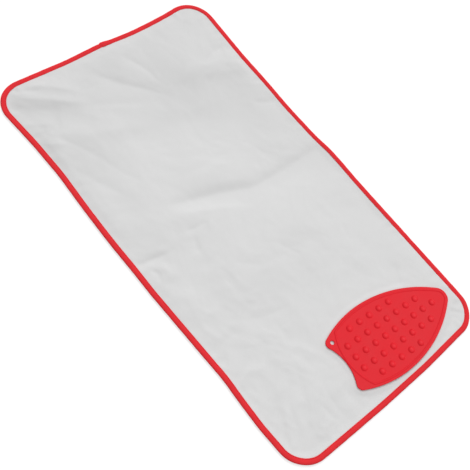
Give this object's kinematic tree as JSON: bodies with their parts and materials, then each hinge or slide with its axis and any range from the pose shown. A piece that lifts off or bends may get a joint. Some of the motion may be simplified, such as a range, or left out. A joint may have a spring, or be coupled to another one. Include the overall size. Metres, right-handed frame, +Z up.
{
  "type": "ironing pad",
  "caption": "Padded table-top ironing mat with rounded corners, bound with folded tape, and a loose studded silicone rest shaped like a soleplate on which the hot iron stands.",
  "frame": {"origin": "on the table under the middle of the mat", "axes": "+X along the mat towards the end where the iron rest lies, +Y across the mat towards the side that the rest's tip points to, +Z up from the table"},
  "size_m": [0.9, 0.5, 0.0097],
  "materials": {
    "silver_cloth": "light grey metal-coated cotton, close plain weave, dull sheen",
    "felt_wadding": "off-white needled felt",
    "backing_cotton": "undyed cotton, plain weave, matt",
    "binding_tape": "red folded cotton tape, matt",
    "seam_thread": "red sewing thread",
    "red_silicone": "red moulded silicone rubber, satin"
  },
  "bodies": {
    "mat": {"backing_cloth": "backing_cotton", "wadding": "felt_wadding", "face_cloth": "silver_cloth", "edge_binding": "binding_tape", "needle_thread": "seam_thread", "bobbin_thread": "seam_thread"},
    "rest": {"iron_rest": "red_silicone"}
  },
  "joints": [
    {"name": "rest_lift", "type": "slide", "parent": "mat", "child": "rest", "axis": [0, 0, 1], "range_m": [0, 0.15]}
  ]
}
